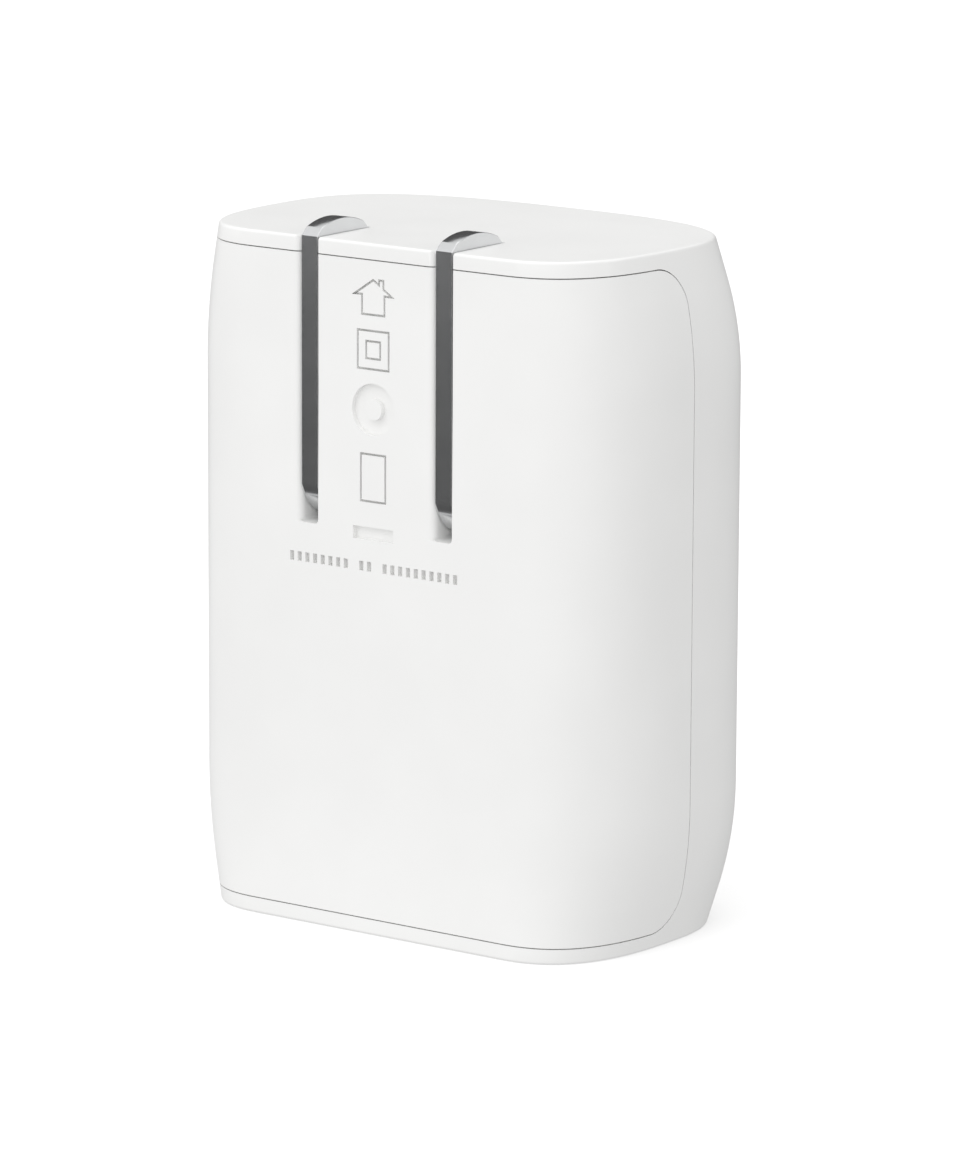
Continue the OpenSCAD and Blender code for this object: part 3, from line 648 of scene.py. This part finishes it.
def flare(side, axis):
    """A cutter that rounds a slot's +X wall into the back face, or into the top face."""
    wall_x = side * BLADE_X + BLADE_THICK / 2 + GAP_PLUS_X
    radius = WIDE_MOUTH_FILLET
    steps = 8
    overlap = 0.04
    turns = [math.radians(90) * i / steps for i in range(steps + 1)]
    section = [(radius * (1 - math.cos(a)), radius * (1 - math.sin(a))) for a in turns]
    section += [(radius, -OVERRUN), (-overlap, -OVERRUN), (-overlap, radius)]
    if axis == 2:
        corners = [(wall_x + out, BACK_Y - down, SLOT_LOW_Z) for out, down in section]
        run = (0, 0, HEIGHT + OVERRUN - SLOT_LOW_Z)
    else:
        corners = [(wall_x + out, BACK_Y - SLOT_DEPTH, HEIGHT - down) for out, down in section]
        run = (0, SLOT_DEPTH + OVERRUN, 0)
    bm = bmesh.new()
    thicken(bm, [flat_face(bm, corners)], run)
    return bm


def cut_slots(piece):
    """Cuts both slots into a half of the shell and rounds their mouths."""
    combine(piece, gather(*mirrored(slot_cutter)))
    edit(piece, round_slot_mouths)
    for axis in (2, 1):
        combine(piece, gather(*mirrored(lambda side: flare(side, axis))))


# ---------------------------------------------------------------- inside of the shell

def cheeks(side):
    """The walls round a slot: deep behind the blade's tip, and open towards the rotor."""
    low_x, high_x = sorted(side * BLADE_X + out * CHEEK_HALF for out in (-1, 1))
    root_y = BACK_Y - ROOT_DEPTH
    deep_y = BACK_Y - SLOT_DEPTH - CHEEK
    open_y = BACK_Y - SLOT_DEPTH + 0.4
    top_z = HEIGHT - RIM_HEIGHT - 0.5
    overlap = 0.01
    return [
        block((low_x, deep_y, SEAT_TOP_Z), (high_x, root_y, top_z)),
        block((low_x, open_y, SLOT_LOW_Z - CHEEK), (high_x, root_y, SEAT_TOP_Z + overlap)),
    ]


def guide_tabs(side, z):
    """A tab that guides the halves together: a root in the cover, and a tongue past the part line."""
    tabs = []
    for out_x, end_depth in ((19.2, SEAM_DEPTH - 0.6), (18.2, SEAM_DEPTH + 1.6)):
        low_x, high_x = sorted((side * TAB_IN_X, side * out_x))
        low = (low_x, BACK_Y - end_depth, z - TAB_HALF_HEIGHT)
        high = (high_x, BACK_Y - TAB_ROOT_DEPTH, z + TAB_HALF_HEIGHT)
        tabs.append(block(low, high))
    return tabs


def back_fittings(side):
    """A boss for the retainer's screw, a post that clamps the board, and two guide tabs."""
    root_y = BACK_Y - ROOT_DEPTH
    boss_end_y = BACK_Y - BOSS_END_DEPTH
    board_back_y = box_mm("main_board")[1].y
    fittings = [
        rod((side * BOSS_X, root_y, PIVOT.z), (side * BOSS_X, boss_end_y, PIVOT.z), BOSS_RADIUS),
        rod((side * CLAMP_X, root_y, CLAMP_Z), (side * CLAMP_X, board_back_y, CLAMP_Z), CLAMP_RADIUS),
    ]
    for z in (TAB_FROM_END, HEIGHT - TAB_FROM_END):
        fittings += guide_tabs(side, z)
    return fittings


def pilot_hole(side):
    """A cutter for the hole that a retainer screw is driven into."""
    start_y = BACK_Y - BOSS_END_DEPTH - OVERRUN
    end_y = BACK_Y - PILOT_END_DEPTH
    return rod((side * BOSS_X, start_y, PIVOT.z), (side * BOSS_X, end_y, PIVOT.z), PILOT_RADIUS)


def rotor_seat():
    """Cutters for the rotor's seat, which is open towards the inside."""
    return [
        rod((-SEAT_REACH, PIVOT.y, PIVOT.z), (SEAT_REACH, PIVOT.y, PIVOT.z), SEAT_RADIUS),
        block(
            (-SEAT_REACH, BACK_Y - SLOT_DEPTH, PIVOT.z - SEAT_RADIUS),
            (SEAT_REACH, PIVOT.y, PIVOT.z + SEAT_RADIUS)
        ),
    ]


def posts():
    """The front housing's posts, which the board rests on."""
    board_front_y = box_mm("main_board")[0].y
    root_y = BACK_Y - POST_ROOT_DEPTH
    places = [(x, z) for x in (-POST_X, POST_X) for z in POST_HEIGHTS]
    return [rod((x, board_front_y, z), (x, root_y, z), POST_RADIUS) for x, z in places]


# ---------------------------------------------------------------- marks

def rectangle(width, height, z):
    """The corners of an upright rectangle in the middle of the back, as x and z."""
    x = width / 2
    low_z, high_z = z - height / 2, z + height / 2
    return [(-x, low_z), (x, low_z), (x, high_z), (-x, high_z)]


def circle(radius, z):
    """The corners of a circle in the middle of the back, as x and z."""
    turns = [math.tau * i / 64 for i in range(64)]
    return [(radius * math.cos(turn), z + radius * math.sin(turn)) for turn in turns]


def house(eaves_z):
    """The corners of a house with a chimney, as x and z."""
    wall_x = 1.15
    wall_height = 1.5
    eave_x = 2.05
    rise = 1.35
    chimney_in_x = 0.46
    chimney_out_x = 1.05
    roof_z = eaves_z + rise
    slope = rise / eave_x
    return [
        (-wall_x, eaves_z - wall_height), (wall_x, eaves_z - wall_height), (wall_x, eaves_z),
        (eave_x, eaves_z), (0, roof_z), (-chimney_in_x, roof_z - chimney_in_x * slope),
        (-chimney_in_x, roof_z), (-chimney_out_x, roof_z),
        (-chimney_out_x, roof_z - chimney_out_x * slope), (-eave_x, eaves_z), (-wall_x, eaves_z)
    ]


def engrave_outline(corners, width=MARK_STROKE):
    """A cutter that engraves the inner border of a flat shape into the back."""
    bm = bmesh.new()
    face = flat_face(bm, [(MARK_X + x, BACK_Y - MARK_DEPTH, z) for x, z in corners])
    face.normal_update()
    bmesh.ops.inset_region(bm, faces=[face], thickness=width, use_boundary=True, use_even_offset=True)
    bmesh.ops.delete(bm, geom=[face], context="FACES_ONLY")
    thicken(bm, bm.faces[:], (0, MARK_DEPTH + OVERRUN, 0))
    return bm


def engrave_patch(x, z, width, height):
    """A cutter that engraves a filled rectangle into the back."""
    middle_x = MARK_X + x
    return block(
        (middle_x - width / 2, BACK_Y - MARK_DEPTH, z - height / 2),
        (middle_x + width / 2, BACK_Y + OVERRUN, z + height / 2)
    )


def dashes(z):
    """Cutters for a row of upright dashes in three groups."""
    pitch = 0.74
    places = 22
    left_out = (8, 11)
    shown = [i for i in range(places) if i not in left_out]
    return [engrave_patch(((places - 1) / 2 - i) * pitch, z, 0.4, 0.75) for i in shown]


def marks():
    """Cutters of the marks: a house, two squares, a ring with a dot, a panel, a bar and dashes."""
    squares_z = 45.4
    return [
        engrave_outline(house(49.5)),
        engrave_outline(rectangle(3.1, 3.1, squares_z)),
        engrave_outline(rectangle(1.5, 1.5, squares_z)),
        engrave_outline(circle(2, 40.85), 1.2),
        engrave_outline(rectangle(2.5, 3.8, 35.6)),
        engrave_patch(0, 31.3, 3.8, 1.0),
    ] + dashes(28.75)


# ---------------------------------------------------------------- shell

def socket_mouths():
    """Cutters for the two openings that the sockets stand in."""
    grow = Vector((MOUTH_GAP, 0, MOUTH_GAP))
    cutters = []
    for low, high, radius in MOUTHS:
        start = Vector((low.x, FRONT_Y - OVERRUN, low.z)) - grow
        end = Vector((high.x, FRONT_Y + MOUTH_REACH, high.z)) + grow
        cutters.append(rounded_bar(start, end, radius, 1))
    return cutters


def round_socket_mouths(bm):
    """Rounds the rims of the two openings on the outside of the front."""
    reach = MOUTH_GAP + NEAR

    def on_rim(point):
        """True on the outer rim of either opening."""
        if point.y > FRONT_Y + WALL / 2:
            return False
        return any(
            abs(point.x) < high.x + reach and low.z - reach < point.z < high.z + reach
            for low, high, _ in MOUTHS
        )

    rims = [e for e in bm.edges if sharp(e, 40) and all(on_rim(v.co) for v in e.verts)]
    round_edges(bm, rims, MOUTH_RIM_FILLET, 3)


def make_housing():
    """Both halves of the shell. The slots are cut before the part line, so that their walls meet."""
    back = object_from(outer_form(), "back_cover_shell")
    combine(back, body_form(WALL, END_WALL))
    front = bpy.data.objects.new("front_housing_shell", back.data.copy())
    bpy.context.scene.collection.objects.link(front)
    for pair in mirrored(cheeks):
        for cheek in pair:
            combine(back, cheek, "UNION")
    cut_slots(front)
    cut_slots(back)

    combine(front, seam_prism(SEAM_GAP))
    combine(front, gather(*posts()), "UNION")
    combine(front, gather(*socket_mouths()))
    edit(front, round_socket_mouths)

    combine(back, seam_prism(0), "INTERSECT")
    for fittings in mirrored(back_fittings):
        for fitting in fittings:
            combine(back, fitting, "UNION")
    for space in rotor_seat() + mirrored(pilot_hole):
        combine(back, space)
    combine(back, gather(*marks()))
    finish_piece(front, "case", "housing_white", "front_housing")
    finish_piece(back, "case", "housing_white", "back_cover")


# ---------------------------------------------------------------- blades

def arc(centre_z, radius, start, end, steps):
    """Points of an arc in the blade's side view, as depth and height. Angles are in degrees."""
    angles = [math.radians(start + (end - start) * i / steps) for i in range(steps + 1)]
    return [(radius * math.cos(a), centre_z + radius * math.sin(a)) for a in angles]


def blade_outline():
    """Side view of a blade from its pivot: a round heel, straight sides and an arched tip."""
    tip_radius = 6.5
    tip_chamfer = 0.6
    heel_radius = 3
    heel_drop = 0.33
    heel_turn = 22
    shoulder = BLADE_REACH - 1.1
    tip_turn = math.degrees(math.acos((BLADE_HALF - tip_chamfer) / tip_radius))
    return (
        arc(BLADE_REACH - tip_radius, tip_radius, tip_turn, 180 - tip_turn, 24)
        + [(-BLADE_HALF, shoulder), (-BLADE_HALF, -heel_drop)]
        + arc(0, heel_radius, 180 + heel_turn, 360 - heel_turn, 28)
        + [(BLADE_HALF, -heel_drop), (BLADE_HALF, shoulder)]
    )


def make_blade(name, x, node):
    """A blade with a countersunk hole near its tip, and a hole at the pivot for the rotor's neck."""
    start_x = x - BLADE_THICK / 2
    hole_z = PIVOT.z + HOLE_REACH

    def through(z, radius, segments=48):
        """A rod that goes right through the blade at a height."""
        reach = BLADE_THICK / 2 + OVERRUN
        return rod((x - reach, PIVOT.y, z), (x + reach, PIVOT.y, z), radius, segments)

    def on_hole_rim(point):
        from_axis = math.hypot(point.y - PIVOT.y, point.z - hole_z)
        return abs(from_axis - HOLE_RADIUS) < 0.02

    def countersink(bm):
        """Chamfers both rims of the hole near the tip."""
        rims = [
            e for e in bm.edges
            if sharp(e, 60) and not along(e, 0) and all(on_hole_rim(v.co) for v in e.verts)
        ]
        round_edges(bm, rims, COUNTERSINK, 1)

    bm = bmesh.new()
    side_face = flat_face(bm, [(start_x, PIVOT.y + u, PIVOT.z + v) for u, v in blade_outline()])
    thicken(bm, [side_face], (BLADE_THICK, 0, 0))
    round_edges(bm, [e for e in bm.edges if sharp(e, 60) and not along(e, 0)], EDGE_ROUNDING, 2)
    blade = object_from(bm, name)
    combine(blade, through(hole_z, HOLE_RADIUS, 64))
    combine(blade, through(PIVOT.z, NECK_RADIUS))
    edit(blade, countersink)
    finish_piece(blade, "plug", "blade_metal", node)


# ---------------------------------------------------------------- sockets

def sheet_tube(low, high, radius, sheet, segments=8):
    """An open tube of sheet metal along the depth, with its lips rounded."""
    bm = rounded_bar(low, high, radius, 1, segments)
    ends = [f for f in bm.faces if abs(f.normal.y) > 0.99]
    bmesh.ops.delete(bm, geom=ends, context="FACES_ONLY")
    bmesh.ops.recalc_face_normals(bm, faces=bm.faces)
    bmesh.ops.solidify(bm, geom=bm.faces[:], thickness=sheet)
    round_edges(bm, front_edges(bm, low.y), sheet * 0.3, 2)
    return bm


def spring_finger(x, wall_z, inward):
    """A leaf of the USB-A shell that presses on the plug: it dips 0.45 mm inwards and out again."""
    length, width, thickness, dip = 4.0, 1.6, 0.2, 0.45
    front_y = USB_A_LOW.y + 1.6
    bm = bmesh.new()
    bmesh.ops.create_grid(bm, x_segments=1, y_segments=10, size=0.5)
    for vert in bm.verts:
        share = vert.co.y + 0.5
        sink = inward * dip * math.sin(math.pi * share)
        vert.co = Vector((x + vert.co.x * width, front_y + share * length, wall_z + sink))
    bmesh.ops.recalc_face_normals(bm, faces=bm.faces)
    bmesh.ops.solidify(bm, geom=bm.faces[:], thickness=thickness)
    return bm


def usb_c_tongue(middle_z, half_thick):
    """The USB-C tongue, with a rounded nose, and the base that it grows out of."""
    low, high = box_mm("usb_c_insulator")
    half_width = 3.35
    tongue = rounded_bar(
        (-half_width, low.y, middle_z - half_thick), (half_width, USB_C_HIGH.y, middle_z + half_thick),
        0.3, 1, 4
    )
    round_edges(tongue, front_edges(tongue, low.y), 0.12, 3)
    return gather(tongue, bevelled_block((low.x, USB_C_HIGH.y, low.z), high, 0.15))


def usb_c_pads(middle_z, half_thick):
    """Twelve contact pads on each side of the USB-C tongue."""
    low, high = box_mm("usb_c_contacts")
    pitch = 0.5
    half_pad = 0.125
    pad_thick = 0.05
    pads = []
    for i in range(12):
        x = (i - 5.5) * pitch
        for side in (-1, 1):
            near, far = sorted((middle_z + side * half_thick, middle_z + side * (half_thick + pad_thick)))
            pads.append(bevelled_block((x - half_pad, low.y, near), (x + half_pad, high.y, far), 0.015, 1))
    return gather(*pads)


def make_usb_c():
    """The USB-C socket: shell, tongue and contacts."""
    round_end = (USB_C_HIGH.z - USB_C_LOW.z) / 2 - 0.01
    middle_z = (USB_C_LOW.z + USB_C_HIGH.z) / 2
    half_thick = 0.35
    shell = object_from(sheet_tube(USB_C_LOW, USB_C_HIGH, round_end, SHEET_C), "usb_c_mouth")
    finish_piece(shell, "case", "socket_steel", "usb_c_shell")
    tongue = object_from(usb_c_tongue(middle_z, half_thick), "usb_c_tongue")
    finish_piece(tongue, "case", "socket_black", "usb_c_insulator")
    pads = object_from(usb_c_pads(middle_z, half_thick), "usb_c_pads")
    finish_piece(pads, "case", "contact_gold", "usb_c_contacts")


def usb_a_tongue(top_z):
    """The USB-A tongue, and the base that it grows out of."""
    low, high = box_mm("usb_a_insulator")
    half_width = 5.55
    low_z = top_z - 1.84
    base_y = BACK_Y - 17.6
    return gather(
        bevelled_block((-half_width, low.y, low_z), (half_width, base_y, top_z), 0.2, 3),
        bevelled_block((low.x, base_y, low.z), high, 0.1)
    )


def usb_a_leaves():
    """The four contacts under the USB-A tongue."""
    low, high = box_mm("usb_a_contacts")
    half_leaf = 0.5
    return gather(*[
        bevelled_block((x - half_leaf, low.y, low.z), (x + half_leaf, high.y, high.z), 0.03, 1)
        for x in (-3.5, -1, 1, 3.5)
    ])


def make_usb_a():
    """The USB-A socket: shell with four spring fingers, tongue and contacts."""
    inner_top = USB_A_HIGH.z - SHEET_A
    inner_low = USB_A_LOW.z + SHEET_A
    over_tongue = 0.7
    fingers = [
        spring_finger(x, z, inward) for x in (-3.2, 3.2) for z, inward in ((inner_top, -1), (inner_low, 1))
    ]
    shell = gather(sheet_tube(USB_A_LOW, USB_A_HIGH, 0.5, SHEET_A, 5), *fingers)
    finish_piece(object_from(shell, "usb_a_mouth"), "case", "socket_steel", "usb_a_shell")
    tongue = object_from(usb_a_tongue(inner_top - over_tongue), "usb_a_tongue")
    finish_piece(tongue, "case", "socket_white", "usb_a_insulator")
    leaves = object_from(usb_a_leaves(), "usb_a_leaves")
    finish_piece(leaves, "case", "contact_gold", "usb_a_contacts")


# ---------------------------------------------------------------- CAD nodes that stay

def finish_cad_nodes():
    """Gives every CAD node the finish of its material slot."""
    for subpart in frame["record"]["subparts"]:
        node = frame["nodes"][subpart["node"]]
        node.data.materials.clear()
        node.data.materials.append(FINISHES[subpart["material_slot"]])


# ---------------------------------------------------------------- studio

def studio_paint(name, colour, glow, strength):
    """A matt paint that also glows by itself."""
    return start_material(name, **{
        "Roughness": 1.0, "Specular IOR Level": 0, "Base Color": linear(colour),
        "Emission Color": linear(glow), "Emission Strength": strength
    })[0]


def add_floor():
    """A wide white floor just under the base. It lights nothing and shows in no reflection."""
    bm = bmesh.new()
    bmesh.ops.create_grid(bm, x_segments=1, y_segments=1, size=4)
    floor = object_from(bm, "floor")
    floor.location.z = -0.02 * MM
    floor.data.materials.append(studio_paint("white_sweep", "#E0E0E0", "#FFFFFF", 0.36))
    floor.visible_diffuse = False
    floor.visible_glossy = False


def add_card(name, centre, width, height, facing, colour):
    """A reflection card: only what is glossy sees it."""
    bm = bmesh.new()
    bmesh.ops.create_grid(bm, x_segments=1, y_segments=1, size=0.5)
    bmesh.ops.scale(bm, vec=(width, height, 1), verts=bm.verts)
    turn = Vector(facing).to_track_quat("Z", "Y").to_matrix().to_4x4()
    bmesh.ops.transform(bm, matrix=Matrix.Translation(Vector(centre)) @ turn, verts=bm.verts)
    card = object_from(bm, name)
    card.data.materials.append(studio_paint(name + "_paint", "#000000", colour, 1))
    card.visible_camera = False
    card.visible_diffuse = False
    card.visible_shadow = False
    card.visible_transmission = False


def add_sky():
    """A white sky that is brighter on one side than on the other."""
    world = bpy.data.worlds.new("studio")
    world.use_nodes = True
    bpy.context.scene.world = world
    tree = world.node_tree
    view = add(tree, "ShaderNodeTexCoord").outputs["Generated"]
    lit = add(tree, "ShaderNodeVectorMath", {1: SKY_TOWARDS}, {0: view}, operation="DOT_PRODUCT")
    strength = add(
        tree, "ShaderNodeMapRange",
        {"From Min": -1, "From Max": 1, "To Min": SKY_MEAN - SKY_SWING, "To Max": SKY_MEAN + SKY_SWING},
        {"Value": lit.outputs["Value"]}
    )
    background = tree.nodes["Background"]
    background.inputs["Color"].default_value = linear("#FFFFFF")
    tree.links.new(strength.outputs["Result"], background.inputs["Strength"])


def add_studio():
    """Sky, floor, two softboxes and two cards. Places and sizes are in metres, powers in watts."""
    bpy.context.scene.view_settings.view_transform = "Standard"
    add_sky()
    add_floor()
    aim = (0, 0, 0.025)
    add_softbox("key", (0.15, 0.55, 0.75), aim, 0.5, 0.95)
    add_softbox("top", (0.0, -0.1, 0.9), aim, 0.7, 1.6)
    add_card("table_card", (0.2, 0.33, 0.001), 0.6, 0.6, (0, 0, 1), "#5A5A5A")
    add_card("far_card", (0.45, -0.5, 0.28), 0.8, 0.8, (-0.6, 0.8, 0), "#505050")


add_camera()
finish_cad_nodes()
make_housing()
make_blade("blade_plus_x", BLADE_X, "blade_left")
make_blade("blade_minus_x", -BLADE_X, "blade_right")
make_usb_c()
make_usb_a()
add_studio()

bpy.context.view_layer.update()
